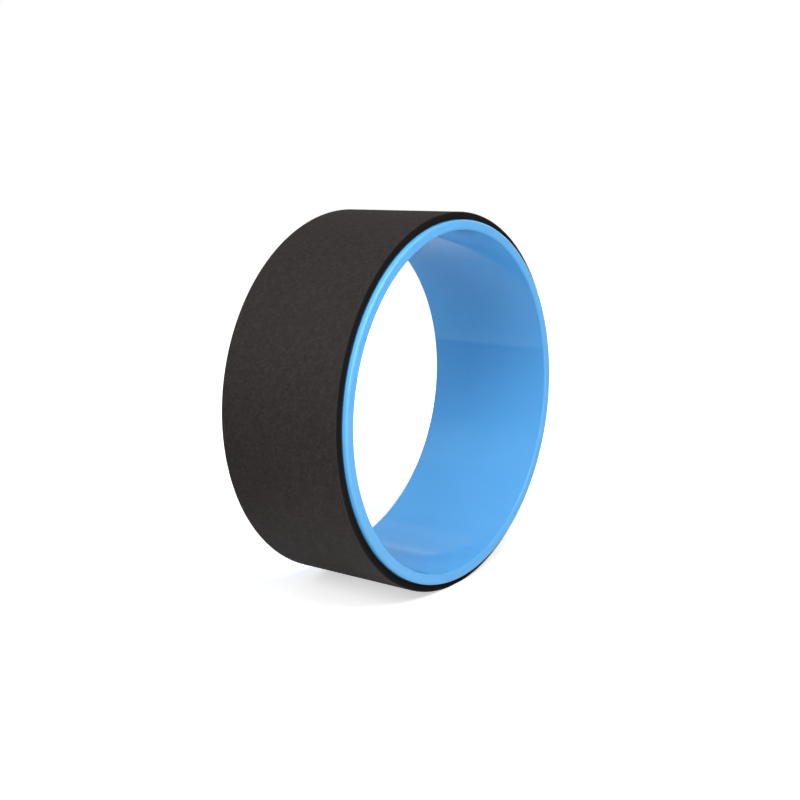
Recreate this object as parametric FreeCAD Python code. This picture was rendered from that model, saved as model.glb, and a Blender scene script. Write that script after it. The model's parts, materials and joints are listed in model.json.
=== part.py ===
"""Yoga wheel: a stiff plastic hoop with a foam pad wrapped and glued round its outside.

The wheel stands on its tread with its axis along Y. +Z is up, the origin is the centre of the
hoop, and lengths are in millimetres.
"""
import FreeCAD
import Part
import os

# Overall sizes
OUTER_DIAMETER = 330.0
HOOP_WIDTH = 130.0

# Hoop: a solid wall with rounded rim edges, bare for a short stub beyond each edge of the pad
HOOP_WALL = 9.0
RIM_ROUND = 2.0
BARE_STUB = 5.5

# Pad: adhesive film, foam core and embossed tread skin, from the hoop outwards.
# The glue coat on each face of the film is left as a gap.
GLUE_COAT = 0.2
FILM_THICKNESS = 0.3
CORE_THICKNESS = 5.1
SKIN_THICKNESS = 1.0
TREAD_EDGE_SHARE = 0.6

# Standing flat: how far the wheel's own weight presses the foam where it meets the floor
STANDING_FLAT_DEPTH = 0.5

# Butt joint of the pad strip: a glue line just under the tread, at an angle below +X about Y
SEAM_GAP = 0.5
SEAM_RECESS = 0.3
SEAM_ANGLE = 20.0

# Cutting tools run past what they cut by this much
OVERRUN = 5.0

# Sizes that follow from the ones above
outer_radius = OUTER_DIAMETER / 2
core_radius = outer_radius - SKIN_THICKNESS
core_bore_radius = core_radius - CORE_THICKNESS
film_radius = core_bore_radius - GLUE_COAT
film_bore_radius = film_radius - FILM_THICKNESS
hoop_radius = film_bore_radius - GLUE_COAT
bore_radius = hoop_radius - HOOP_WALL
pad_width = HOOP_WIDTH - 2 * BARE_STUB
tread_edge_round = SKIN_THICKNESS * TREAD_EDGE_SHARE

CENTRE = FreeCAD.Vector(0, 0, 0)
AXIS = FreeCAD.Vector(0, 1, 0)


def disc(radius, width):
    """A solid disc about the wheel's axis, midway on it."""
    start = FreeCAD.Vector(0, -width / 2, 0)
    return Part.makeCylinder(radius, width, start, AXIS)


def tool_disc(radius, width):
    """A disc that cuts right through a piece of that width."""
    return disc(radius, width + 2 * OVERRUN)


def rounded(solid, radius):
    """The solid with its round rim edges rounded over."""
    rims = [edge for edge in solid.Edges if len(edge.Vertexes) == 1]
    return solid.makeFillet(radius, rims)


def pressed(solid, radius, width):
    """A pad disc of that radius, pressed flat where the wheel stands on it."""
    block_length = 2 * radius
    block_width = width + 2 * OVERRUN
    block_height = STANDING_FLAT_DEPTH + OVERRUN
    corner = FreeCAD.Vector(-block_length / 2, -block_width / 2, -radius - OVERRUN)
    block = Part.makeBox(block_length, block_width, block_height, corner)
    return solid.cut(block)


def seam_slab():
    """The slot that the butt joint leaves between the two ends of the pad strip."""
    slab_length = outer_radius + OVERRUN
    slab_width = pad_width + 2 * OVERRUN
    corner = FreeCAD.Vector(0, -slab_width / 2, -SEAM_GAP / 2)
    slab = Part.makeBox(slab_length, slab_width, SEAM_GAP, corner)
    slab.rotate(CENTRE, AXIS, SEAM_ANGLE)
    return slab


def make_hoop():
    """The plastic ring that carries the pad and the user's weight."""
    ring = disc(hoop_radius, HOOP_WIDTH).cut(tool_disc(bore_radius, HOOP_WIDTH))
    return rounded(ring, RIM_ROUND)


def make_adhesive_film():
    """The film that holds the pad on the hoop, open at the butt joint."""
    ring = disc(film_radius, pad_width).cut(tool_disc(film_bore_radius, pad_width))
    return ring.cut(seam_slab())


def make_foam_core():
    """The foam under the tread, pressed flat at the floor and open at the butt joint."""
    blank = pressed(disc(core_radius, pad_width), core_radius, pad_width)
    ring = blank.cut(tool_disc(core_bore_radius, pad_width))
    return ring.cut(seam_slab())


def make_tread_skin():
    """The tread layer: it follows the pressed foam, and its cut edges are slightly rounded."""
    blank = rounded(disc(outer_radius, pad_width), tread_edge_round)
    blank = pressed(blank, outer_radius, pad_width)
    foam_space = pressed(tool_disc(core_radius, pad_width), core_radius, pad_width + 2 * OVERRUN)
    return blank.cut(foam_space).cut(seam_slab())


def make_seam_glue():
    """The glue line in the butt joint, from the hoop to just under the tread."""
    bead = seam_slab().common(disc(outer_radius - SEAM_RECESS, pad_width))
    return bead.cut(tool_disc(hoop_radius, pad_width))


PIECES = {
    "hoop": make_hoop,
    "adhesive_film": make_adhesive_film,
    "foam_core": make_foam_core,
    "tread_skin": make_tread_skin,
    "seam_glue": make_seam_glue,
}

os.makedirs("parts", exist_ok=True)
for node, make in PIECES.items():
    piece = make()
    piece.exportStep(f"parts/{node}.step")
    print(node, len(piece.Solids), "solid", piece.isValid(), round(piece.Volume), "cubic mm")
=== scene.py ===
"""The looks of a yoga wheel: a glossy plastic hoop with an embossed foam pad round its outside."""
import functools
import json
import math

import bmesh
import bpy
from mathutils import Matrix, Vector


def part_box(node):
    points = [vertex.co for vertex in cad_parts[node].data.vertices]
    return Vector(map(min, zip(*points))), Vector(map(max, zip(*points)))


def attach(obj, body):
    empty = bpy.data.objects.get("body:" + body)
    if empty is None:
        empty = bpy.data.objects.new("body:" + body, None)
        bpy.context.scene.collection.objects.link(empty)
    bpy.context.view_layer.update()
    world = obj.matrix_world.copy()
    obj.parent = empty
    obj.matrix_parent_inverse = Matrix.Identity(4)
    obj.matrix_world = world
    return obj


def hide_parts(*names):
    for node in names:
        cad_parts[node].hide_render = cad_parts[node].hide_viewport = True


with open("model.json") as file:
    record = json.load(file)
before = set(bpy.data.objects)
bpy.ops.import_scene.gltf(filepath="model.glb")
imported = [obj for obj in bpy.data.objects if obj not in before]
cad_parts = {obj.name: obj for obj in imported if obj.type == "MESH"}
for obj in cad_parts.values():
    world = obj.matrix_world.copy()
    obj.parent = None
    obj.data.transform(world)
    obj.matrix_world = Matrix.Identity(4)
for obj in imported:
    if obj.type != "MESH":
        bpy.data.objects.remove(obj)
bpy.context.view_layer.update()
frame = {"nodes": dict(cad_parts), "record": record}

MM = 0.001

# Sizes read from the frame, in metres as all sizes below
BORE = next(mount["dims"] for mount in frame["record"]["mounts"] if mount["name"] == "bore")
BORE_RADIUS = BORE["r_mm"] * MM
HOOP_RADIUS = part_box("hoop")[1].z
HOOP_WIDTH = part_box("hoop")[1].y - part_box("hoop")[0].y
RIM_ROUND = (HOOP_WIDTH - BORE["length_mm"] * MM) / 2
FILM_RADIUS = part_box("adhesive_film")[1].z
CORE_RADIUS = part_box("foam_core")[1].z
CORE_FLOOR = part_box("foam_core")[0].z
TREAD_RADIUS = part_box("tread_skin")[1].z
PAD_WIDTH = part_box("tread_skin")[1].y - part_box("tread_skin")[0].y
FLOOR_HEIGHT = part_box("tread_skin")[0].z
WHEEL_CENTRE = (0, 0, 0)
WHEEL_AXIS = (0, 1, 0)

# Pad: the glue coat under the foam, the butt joint, and the tread's rounded edges and grain
GLUE_COAT = 0.2 * MM
SEAM_GAP = 0.5 * MM
SEAM_ANGLE = math.radians(-20)
TREAD_EDGE_ROUND = 0.6 * MM
GRAIN_DEPTH = 0.16 * MM
GRAIN_SIZE = 2.6 * MM
GRAIN_HEIGHT = "grain_height"

# Fineness of the meshes
HOOP_STEPS = 360
FOAM_STEPS = 360
TREAD_STEPS = 880
TREAD_ROWS = 100
RIM_SEGMENTS = 8
TREAD_EDGE_SEGMENTS = 3
MERGE_DISTANCE = 0.01 * MM
SMOOTH_ANGLE = math.radians(40)

# Hoop plastic: its two blues, its gloss, its cloudiness, haze and orange peel
HOOP_BLUE = (0.114, 0.414, 0.808, 1)
HOOP_PALE_BLUE = (0.121, 0.430, 0.833, 1)
HOOP_GLOSS_TINT = (0.55, 0.95, 1.0, 1)
HOOP_IOR = 1.5
HOOP_ROUGHNESS = 0.03
HOOP_CLOUD_SIZE = 60 * MM
HAZE_SIZE = 14 * MM
HAZE_ROUGHNESS = 0.05
PEEL_SIZE = 2.2 * MM
PEEL_DEPTH = 0.01 * MM

# Scuffed rims: how far in from the rim's face the scuffs start and are full, and how dull they are
SCUFF_START = 1.5 * RIM_ROUND
SCUFF_FULL = 0.5 * RIM_ROUND
SCUFF_ROUGHNESS = 0.2
SCUFF_HAZE_ROUGHNESS = 0.25

# Painted shade on the hoop's outer face along the pad's edge: its width, where it fades out beside the
# pad, its colour and its cover
PAD_SHADE_WIDTH = 1.0 * MM
PAD_SHADE_FADE_START = 0.5 * PAD_SHADE_WIDTH
PAD_SHADE_FADE_END = 1.5 * PAD_SHADE_WIDTH
PAD_SHADE_COLOUR = (0.010, 0.022, 0.040, 1)
PAD_SHADE_COVER = 0.9

# Tread: its browns, darkened by painted shade in the grain's valleys, what makes a place lighter and by
# how much, its dullness and its relief
TREAD_DARK_AND_VALLEY_SHADE = (0.0104, 0.0086, 0.0080, 1)
TREAD_PEAK = (0.0437, 0.0366, 0.0347, 1)
TREAD_FADED = (0.0283, 0.0237, 0.0222, 1)
GRAIN_SHADE_SHARE = 0.6
SPECKLE_SHARE = 0.6
MOTTLE_SHARE = 0.4
LIGHTNESS_DROP = 0.3
FADED_SHARE = 0.3
TREAD_ROUGHNESS = 0.6
TREAD_SPECULAR = 0.14
SPECKLE_SIZE = 2.2 * MM
SPECKLE_DEPTH = 0.2 * MM
SPECKLE_ROUGHNESS = 0.15
MOTTLE_SIZE = 6 * MM
PORE_SIZE = 0.6 * MM
PORE_DEPTH = 0.05 * MM
TREAD_CLOUD_SIZE = 40 * MM

# Cut edge of the foam: its darks, with painted shade in the pits of its cells, its dullness and its
# cells
FOAM_SHADED_PIT = (0.006, 0.0048, 0.0040, 1)
FOAM_WALL = (0.019, 0.0150, 0.0130, 1)
FOAM_ROUGHNESS = 0.85
FOAM_SPECULAR = 0.04
CELL_SIZE = 0.8 * MM
CELL_DEPTH = 0.15 * MM
CELL_ROUGHNESS = 0.1

# Adhesive: its darks, its dullness and its lumps
GLUE_DARK = (0.008, 0.008, 0.008, 1)
GLUE_LIGHT = (0.02, 0.019, 0.018, 1)
GLUE_ROUGHNESS = 0.4
LUMP_SIZE = 3 * MM
LUMP_ROUGHNESS = 0.3

# Camera: its place round the wheel's centre, its lens and shift, and the point that it looks at
CAMERA_AZIMUTH = math.radians(-53.67)
CAMERA_ELEVATION = math.radians(10.89)
CAMERA_DISTANCE = 1.0445
CAMERA_LENS = 52.03
CAMERA_SENSOR = 36.0
CAMERA_SHIFT_X = -0.0757
CAMERA_SHIFT_Y = -0.1011
AIM_RIGHT = 54.0 * MM
AIM_UP = 67.5 * MM

# Floor: its reach, its open corner's edges, its white, and its lift, which grows away from the wheel
FLOOR_REACH = 6.0
FLOOR_OPEN_LEFT = -0.164
FLOOR_OPEN_BACK = 0.1
FLOOR_WHITE = (0.85, 0.85, 0.85, 1)
FLOOR_ROUGHNESS = 0.9
FLOOR_LIFT = 0.55
LIFT_FROM = 0.25
LIFT_TO = 0.7

# Lamps: name, azimuth and elevation in degrees, size, and level
LAMP_DISTANCE = 1.6
LAMPS = (
    ("front", 259, 46, 1.0, 0.69),
    ("front_left", 225, 55, 1.0, 0.38),
    ("left", 186, 27, 1.0, 0.44),
    ("back_left", 167, 30, 0.7, 0.25),
    ("right", 0, 12, 1.0, 0.20),
)

# Room: dim all round, with soft glows of light walls: azimuth and elevation in degrees, and level
ROOM_WHITE = (1, 1, 1, 1)
ROOM_LEVEL = 0.02
GLOWS = (
    (134, 34, 0.52),
    (114, 50, 0.30),
    (90, 54, 0.12),
    (68, 51, 0.30),
    (46, 36, 0.50),
    (37, 16, 0.32),
)
GLOW_EDGE = math.cos(math.radians(17))
GLOW_FULL = math.cos(math.radians(9))

# Share of the white of the floor and room that shows in reflections
REFLECTED_SHARE = 0.1


# Modelling by hand

def only(piece):
    """Selects one object and nothing else."""
    bpy.ops.object.select_all(action="DESELECT")
    piece.select_set(True)
    bpy.context.view_layer.objects.active = piece


def pick_points(piece, wanted):
    """Selects, in edit mode, the points whose place is wanted, and what lies between them."""
    mesh = bmesh.from_edit_mesh(piece.data)
    for face in mesh.faces:
        face.select = False
    for edge in mesh.edges:
        edge.select = False
    for point in mesh.verts:
        point.select = wanted(point.co)
    mesh.select_flush(True)
    bmesh.update_edit_mesh(piece.data)


def radius_of(place):
    """Distance from the wheel's axis."""
    return math.hypot(place.x, place.z)


def section(name, inner, outer, width, angle):
    """A flat cut through a ring: a plane from the inner to the outer radius, at an angle above +X."""
    middle = (inner + outer) / 2
    place = (middle * math.cos(angle), 0, middle * math.sin(angle))
    bpy.ops.object.select_all(action="DESELECT")
    bpy.ops.mesh.primitive_plane_add(size=1, location=place, rotation=(0, -angle, 0))
    piece = bpy.context.object
    piece.name = name
    piece.scale = (outer - inner, width, 1)
    bpy.ops.object.transform_apply(location=True, rotation=True, scale=True)
    return piece


def sweep(angle, steps):
    """Spins the section in edit mode about the wheel's axis, and closes what it makes."""
    bpy.ops.mesh.select_all(action="SELECT")
    bpy.ops.mesh.spin(steps=steps, angle=angle, center=WHEEL_CENTRE, axis=WHEEL_AXIS)
    bpy.ops.mesh.select_all(action="SELECT")
    bpy.ops.mesh.remove_doubles(threshold=MERGE_DISTANCE)
    bpy.ops.mesh.normals_make_consistent(inside=False)


def smooth(piece):
    """Smooth shading over the round stretches, with sharp edges kept sharp."""
    only(piece)
    bpy.ops.object.shade_smooth_by_angle(angle=SMOOTH_ANGLE)


def apply_modifier(piece, kind, **settings):
    """Adds a modifier with those settings and applies it."""
    only(piece)
    modifier = piece.modifiers.new(kind.lower(), kind)
    for name, value in settings.items():
        setattr(modifier, name, value)
    bpy.ops.object.modifier_apply(modifier=modifier.name)


def press_flat(layer, outside, height):
    """Presses the points of a pad layer past that radius flat where the wheel stands on them."""
    only(layer)
    bpy.ops.object.mode_set(mode="EDIT")
    bpy.ops.mesh.select_mode(type="VERT")
    pick_points(layer, lambda place: radius_of(place) > outside and place.z < height)
    bpy.ops.transform.resize(value=(1, 1, 0), center_override=(0, 0, height))
    bpy.ops.object.mode_set(mode="OBJECT")


def make_hoop():
    """The hoop: a rectangular section with rounded rim edges, spun right round."""
    hoop = section("hoop_moulding", BORE_RADIUS, HOOP_RADIUS, HOOP_WIDTH, 0)
    bpy.ops.object.mode_set(mode="EDIT")
    bpy.ops.mesh.select_all(action="SELECT")
    bpy.ops.mesh.bevel(offset=RIM_ROUND, segments=RIM_SEGMENTS, affect="VERTICES")
    bpy.ops.mesh.select_all(action="SELECT")
    bpy.ops.mesh.delete(type="ONLY_FACE")
    sweep(math.tau, HOOP_STEPS)
    bpy.ops.object.mode_set(mode="OBJECT")
    smooth(hoop)
    apply_modifier(hoop, "WEIGHTED_NORMAL", mode="FACE_AREA", keep_sharp=True)
    return hoop


def make_foam():
    """The foam layer: a plain strip wrapped round the hoop, open at its butt joint."""
    inner = FILM_RADIUS + GLUE_COAT
    outside = (inner + CORE_RADIUS) / 2
    gap = SEAM_GAP / CORE_RADIUS
    foam = section("foam_layer", inner, CORE_RADIUS, PAD_WIDTH, SEAM_ANGLE - gap / 2)
    bpy.ops.object.mode_set(mode="EDIT")
    sweep(math.tau - gap, FOAM_STEPS)
    bpy.ops.object.mode_set(mode="OBJECT")
    press_flat(foam, outside, CORE_FLOOR)
    smooth(foam)
    return foam


def make_tread():
    """The tread: a thin strip with rounded edges and an embossed grain, wrapped over the foam."""
    outside = (CORE_RADIUS + TREAD_RADIUS) / 2
    face_radius = TREAD_RADIUS - MERGE_DISTANCE
    gap = SEAM_GAP / TREAD_RADIUS
    tread = section("tread_cover", CORE_RADIUS, TREAD_RADIUS, PAD_WIDTH, SEAM_ANGLE - gap / 2)
    bpy.ops.object.mode_set(mode="EDIT")
    pick_points(tread, lambda place: radius_of(place) > outside)
    bpy.ops.mesh.bevel(offset=TREAD_EDGE_ROUND, segments=TREAD_EDGE_SEGMENTS, affect="VERTICES")
    sweep(math.tau - gap, TREAD_STEPS)
    pick_crossings(tread, face_radius)
    bpy.ops.mesh.subdivide(number_cuts=TREAD_ROWS - 1)
    bpy.ops.object.mode_set(mode="OBJECT")
    emboss(tread, face_radius)
    press_flat(tread, outside, FLOOR_HEIGHT)
    smooth(tread)
    return tread


def pick_crossings(tread, face_radius):
    """Selects, in edit mode, the lines that cross the tread's outer face from edge to edge."""
    mesh = bmesh.from_edit_mesh(tread.data)
    bpy.ops.mesh.select_all(action="DESELECT")
    bpy.ops.mesh.select_mode(type="EDGE")
    for line in mesh.edges:
        outer = all(radius_of(point.co) > face_radius for point in line.verts)
        line.select_set(outer and line.calc_length() > PAD_WIDTH / 2)
    bmesh.update_edit_mesh(tread.data)


def emboss(tread, face_radius):
    """Presses the grain of the tread into its outer face, and keeps its height for the painted shade in
    its colour.
    """
    points = tread.data.vertices
    face = tread.vertex_groups.new(name="face")
    face.add([point.index for point in points if radius_of(point.co) > face_radius], 1.0, "REPLACE")
    grain = bpy.data.textures.new("tread_grain", "CLOUDS")
    grain.noise_scale = GRAIN_SIZE
    grain.noise_depth = 1
    grain.noise_type = "HARD_NOISE"
    apply_modifier(
        tread, "DISPLACE", texture=grain, texture_coords="LOCAL", direction="NORMAL",
        vertex_group="face", mid_level=1.0, strength=GRAIN_DEPTH,
    )
    height = tread.data.attributes.new(GRAIN_HEIGHT, "FLOAT", "POINT")
    depths = [(TREAD_RADIUS - radius_of(point.co)) / GRAIN_DEPTH for point in tread.data.vertices]
    height.data.foreach_set("value", [1 - min(depth, 1) for depth in depths])


# Finishes

class Value:
    """A number or colour that varies over a surface. Sums on it add Math nodes to its tree."""

    def __init__(self, nodes, socket):
        self.nodes = nodes
        self.socket = socket

    def math(self, operation, *values):
        return self.nodes.add("Math", {"operation": operation}, dict(enumerate(values)))

    def larger(self, other):
        """The larger of the two."""
        return self.math("MAXIMUM", self, other)

    def __abs__(self):
        return self.math("ABSOLUTE", self)

    def __add__(self, other):
        return self.math("ADD", self, other)

    def __radd__(self, other):
        return self.math("ADD", other, self)

    def __sub__(self, other):
        return self.math("SUBTRACT", self, other)

    def __rsub__(self, other):
        return self.math("SUBTRACT", other, self)

    def __mul__(self, other):
        return self.math("MULTIPLY", self, other)

    def __rmul__(self, other):
        return self.math("MULTIPLY", other, self)


class Nodes:
    """A tree of shader nodes."""

    # Places of the colours among a Mix node's sockets, whose names repeat
    MIX_FIRST = 6
    MIX_SECOND = 7
    MIX_RESULT = 2

    def __init__(self, tree):
        self.tree = tree

    def add(self, kind, settings=None, inputs=None, output=0):
        """Adds a node, sets it up, links or fills its sockets, and gives one of its outputs."""
        node = self.tree.nodes.new("ShaderNode" + kind)
        for name, value in (settings or {}).items():
            setattr(node, name, value)
        for key, value in (inputs or {}).items():
            self.feed(node.inputs[key], value)
        return Value(self, node.outputs[output])

    def feed(self, socket, value):
        """Links a varying value to a socket, or sets a plain one on it."""
        if isinstance(value, Value):
            self.tree.links.new(value.socket, socket)
        else:
            socket.default_value = value

    def place(self):
        """The place on the piece, in metres."""
        return self.add("TexCoord", output="Object")

    def length(self, vector):
        """The length of a vector."""
        return self.add("VectorMath", {"operation": "LENGTH"}, {0: vector}, output="Value")

    def noise(self, size, detail=2.0, roughness=0.5):
        """Cloudy variation from 0 to 1 with features of that size, in metres."""
        inputs = {"Vector": self.place(), "Scale": 1 / size, "Detail": detail, "Roughness": roughness}
        return self.add("TexNoise", None, inputs)

    def ramp(self, value, low, high):
        """Goes smoothly from 0 to 1 as the value goes from low to high."""
        settings = {"interpolation_type": "SMOOTHSTEP"}
        return self.add("MapRange", settings, {"Value": value, "From Min": low, "From Max": high})

    def mix(self, factor, first, second):
        """Goes from the first colour to the second as the factor goes from 0 to 1."""
        inputs = {"Factor": factor, self.MIX_FIRST: first, self.MIX_SECOND: second}
        return self.add("Mix", {"data_type": "RGBA"}, inputs, output=self.MIX_RESULT)

    def bump(self, height, depth, under=None):
        """Relief of that depth, in metres, on top of another relief if one is given."""
        inputs = {"Height": height, "Distance": depth, "Strength": 1.0}
        if under:
            inputs["Normal"] = under
        return self.add("Bump", None, inputs)

    def rays(self, *kinds):
        """1 for rays of one of those kinds, and 0 for other rays."""
        found = [self.add("LightPath", output=f"Is {kind} Ray") for kind in kinds]
        return functools.reduce(Value.larger, found)

    def seen(self):
        """How strongly the white of the set shows: fully to the eye, and by a share in reflections."""
        return self.rays("Camera") + REFLECTED_SHARE * self.rays("Glossy", "Transmission")


class Finish(Nodes):
    """A material made of nodes round one shader."""

    def __init__(self, name):
        self.material = bpy.data.materials.new(name)
        self.material.use_nodes = True
        super().__init__(self.material.node_tree)
        self.shader = next(node for node in self.tree.nodes if node.type == "BSDF_PRINCIPLED")

    def surface(self, inputs):
        """Feeds the shader's own sockets, and gives the material."""
        for name, value in inputs.items():
            self.feed(self.shader.inputs[name], value)
        return self.material


def hoop_plastic():
    """Glossy sky-blue moulded plastic: orange peel, scuffed rims, and a band of painted shade along the
    pad's edge.
    """
    finish = Finish("hoop_plastic")
    cloud = finish.noise(HOOP_CLOUD_SIZE)
    peel = finish.noise(PEEL_SIZE, detail=1.0)
    haze = finish.noise(HAZE_SIZE, detail=4.0, roughness=0.6)
    from_middle = abs(finish.add("SeparateXYZ", None, {0: finish.place()}, output="Y"))
    spoke = finish.add("VectorMath", {"operation": "MULTIPLY"}, {0: finish.place(), 1: (1, 0, 1)})
    from_axis = finish.length(spoke)
    scuffed = finish.ramp(from_middle, HOOP_WIDTH / 2 - SCUFF_START, HOOP_WIDTH / 2 - SCUFF_FULL)
    outside = finish.ramp(from_axis, HOOP_RADIUS - PAD_SHADE_WIDTH, HOOP_RADIUS - PAD_SHADE_WIDTH / 2)
    past_pad_shade = finish.ramp(from_middle, PAD_WIDTH / 2 + PAD_SHADE_FADE_START, PAD_WIDTH / 2 + PAD_SHADE_FADE_END)
    blue = finish.mix(cloud, HOOP_BLUE, HOOP_PALE_BLUE)
    polish = HOOP_ROUGHNESS + haze * HAZE_ROUGHNESS
    scuffs = scuffed * (SCUFF_ROUGHNESS + haze * SCUFF_HAZE_ROUGHNESS)
    return finish.surface({
        # The base colour darkens to painted shade on the hoop's outer face under and just beside the
        # pad
        "Base Color": finish.mix(outside * (1 - past_pad_shade) * PAD_SHADE_COVER, blue, PAD_SHADE_COLOUR),
        "Roughness": polish + scuffs,
        "IOR": HOOP_IOR,
        "Specular Tint": HOOP_GLOSS_TINT,
        "Normal": finish.bump(peel, PEEL_DEPTH),
    })


def tread_foam():
    """Dull brown-grey foam skin with speckled, mottled tone, and painted shade darkening the valleys of
    its pebbled grain.
    """
    finish = Finish("tread_foam")
    height = finish.add("Attribute", {"attribute_name": GRAIN_HEIGHT}, output="Fac")
    speckle = finish.noise(SPECKLE_SIZE, detail=3.0, roughness=0.6)
    mottle = finish.noise(MOTTLE_SIZE, detail=3.0, roughness=0.6)
    pores = finish.noise(PORE_SIZE)
    cloud = finish.noise(TREAD_CLOUD_SIZE, detail=3.0)
    # Painted shade: the grain's height darkens its valleys; speckle and mottle are the skin's own
    # random tone
    variation = height * GRAIN_SHADE_SHARE + speckle * SPECKLE_SHARE + mottle * MOTTLE_SHARE
    tone_and_shade = finish.mix(variation - LIGHTNESS_DROP, TREAD_DARK_AND_VALLEY_SHADE, TREAD_PEAK)
    relief = finish.bump(speckle, SPECKLE_DEPTH)
    return finish.surface({
        "Base Color": finish.mix(cloud * FADED_SHARE, tone_and_shade, TREAD_FADED),
        "Roughness": TREAD_ROUGHNESS + speckle * SPECKLE_ROUGHNESS,
        "Specular IOR Level": TREAD_SPECULAR,
        "Normal": finish.bump(pores, PORE_DEPTH, relief),
    })


def cut_foam():
    """The near-black cut edge of closed-cell foam, with painted shade in the pits of its cells."""
    finish = Finish("cut_foam")
    cells = finish.noise(CELL_SIZE)
    return finish.surface({
        # Painted shade: the same noise that dents the cells darkens their pits
        "Base Color": finish.mix(cells, FOAM_SHADED_PIT, FOAM_WALL),
        "Roughness": FOAM_ROUGHNESS + cells * CELL_ROUGHNESS,
        "Specular IOR Level": FOAM_SPECULAR,
        "Normal": finish.bump(cells, CELL_DEPTH),
    })


def dark_adhesive():
    """Dull dark glue."""
    finish = Finish("dark_adhesive")
    lumps = finish.noise(LUMP_SIZE)
    return finish.surface({
        "Base Color": finish.mix(lumps, GLUE_DARK, GLUE_LIGHT),
        "Roughness": GLUE_ROUGHNESS + lumps * LUMP_ROUGHNESS,
    })


def white_floor():
    """White floor, lifted towards plain white away from the wheel for the eye and in reflections."""
    finish = Finish("white_floor")
    reach = finish.length(finish.place())
    lift = FLOOR_LIFT + (1 - FLOOR_LIFT) * finish.ramp(reach, LIFT_FROM, LIFT_TO)
    return finish.surface({
        "Base Color": FLOOR_WHITE,
        "Roughness": FLOOR_ROUGHNESS,
        "Specular IOR Level": 0.0,
        "Emission Color": lift * finish.seen(),
        "Emission Strength": 1.0,
    })


def coat(piece, material):
    """Gives the whole piece one finish."""
    piece.data.materials.clear()
    piece.data.materials.append(material)


# Set: white floor, soft lamps, dim room and the camera

def add_sheet(name, left, right, front, back, material):
    """A flat sheet on the floor between those edges."""
    bpy.ops.object.select_all(action="DESELECT")
    place = ((left + right) / 2, (front + back) / 2, FLOOR_HEIGHT)
    bpy.ops.mesh.primitive_plane_add(size=1, location=place)
    sheet = bpy.context.object
    sheet.name = name
    sheet.scale = (right - left, back - front, 1)
    bpy.ops.object.transform_apply(location=True, rotation=True, scale=True)
    coat(sheet, material)


def add_floor():
    """White floor sheets that hold the wheel's shadow; a corner behind the wheel is left open."""
    material = white_floor()
    add_sheet("floor", FLOOR_OPEN_LEFT, FLOOR_REACH, -FLOOR_REACH, FLOOR_REACH, material)
    add_sheet("floor_left", -FLOOR_REACH, FLOOR_OPEN_LEFT, -FLOOR_REACH, FLOOR_OPEN_BACK, material)


def direction(azimuth, elevation):
    """The way from the wheel's centre: azimuth from +X towards +Y, and elevation, in degrees."""
    across = math.cos(math.radians(elevation))
    return Vector((
        across * math.cos(math.radians(azimuth)),
        across * math.sin(math.radians(azimuth)),
        math.sin(math.radians(elevation)),
    ))


def add_lamp(name, azimuth, elevation, size, level):
    """A soft square lamp aimed at the wheel. At level 1 it alone lights white to full white."""
    lamp = bpy.data.lights.new(name, "AREA")
    lamp.size = size
    lamp.energy = level * (math.pi * LAMP_DISTANCE) ** 2
    stand = bpy.data.objects.new(name, lamp)
    bpy.context.scene.collection.objects.link(stand)
    stand.location = direction(azimuth, elevation) * LAMP_DISTANCE
    stand.rotation_euler = stand.location.to_track_quat("Z", "Y").to_euler()


def add_world():
    """A dim room with soft glows, which looks plain white where the camera sees it."""
    world = bpy.data.worlds.new("studio")
    bpy.context.scene.world = world
    world.use_nodes = True
    nodes = Nodes(world.node_tree)
    way = nodes.add("TexCoord", output="Generated")
    level = ROOM_LEVEL
    for azimuth, elevation, strength in GLOWS:
        towards = {0: way, 1: direction(azimuth, elevation)}
        nearness = nodes.add("VectorMath", {"operation": "DOT_PRODUCT"}, towards, output="Value")
        level = level + strength * nodes.ramp(nearness, GLOW_EDGE, GLOW_FULL)
    background = world.node_tree.nodes["Background"]
    nodes.feed(background.inputs["Color"], ROOM_WHITE)
    nodes.feed(background.inputs["Strength"], level.larger(nodes.seen()))


def add_camera():
    """The camera at the photograph's angle."""
    back = Vector((
        math.sin(CAMERA_AZIMUTH) * math.cos(CAMERA_ELEVATION),
        -math.cos(CAMERA_AZIMUTH) * math.cos(CAMERA_ELEVATION),
        math.sin(CAMERA_ELEVATION),
    ))
    right = Vector((math.cos(CAMERA_AZIMUTH), math.sin(CAMERA_AZIMUTH), 0))
    up = back.cross(right)
    place = back * CAMERA_DISTANCE
    aim = right * AIM_RIGHT + up * AIM_UP
    data = bpy.data.cameras.new("camera")
    data.lens = CAMERA_LENS
    data.sensor_width = CAMERA_SENSOR
    data.shift_x = CAMERA_SHIFT_X
    data.shift_y = CAMERA_SHIFT_Y
    camera = bpy.data.objects.new("camera", data)
    bpy.context.scene.collection.objects.link(camera)
    camera.location = place
    camera.rotation_euler = (aim - place).to_track_quat("-Z", "Y").to_euler()
    bpy.context.scene.camera = camera


def build():
    """Makes every piece, ties it to the frame and sets the stage."""
    adhesive = dark_adhesive()
    for node in ("adhesive_film", "seam_glue"):
        coat(frame["nodes"][node], adhesive)
    hoop, foam, tread = make_hoop(), make_foam(), make_tread()
    pieces = (
        (hoop, "hoop", "hoop_plastic", hoop_plastic()),
        (foam, "foam_core", "foam", cut_foam()),
        (tread, "tread_skin", "tread", tread_foam()),
    )
    for piece, node, slot, material in pieces:
        coat(piece, material)
        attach(piece, "root")
        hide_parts(node)
    add_floor()
    for lamp in LAMPS:
        add_lamp(*lamp)
    add_world()
    add_camera()
    bpy.context.scene.view_settings.view_transform = "Standard"


build()
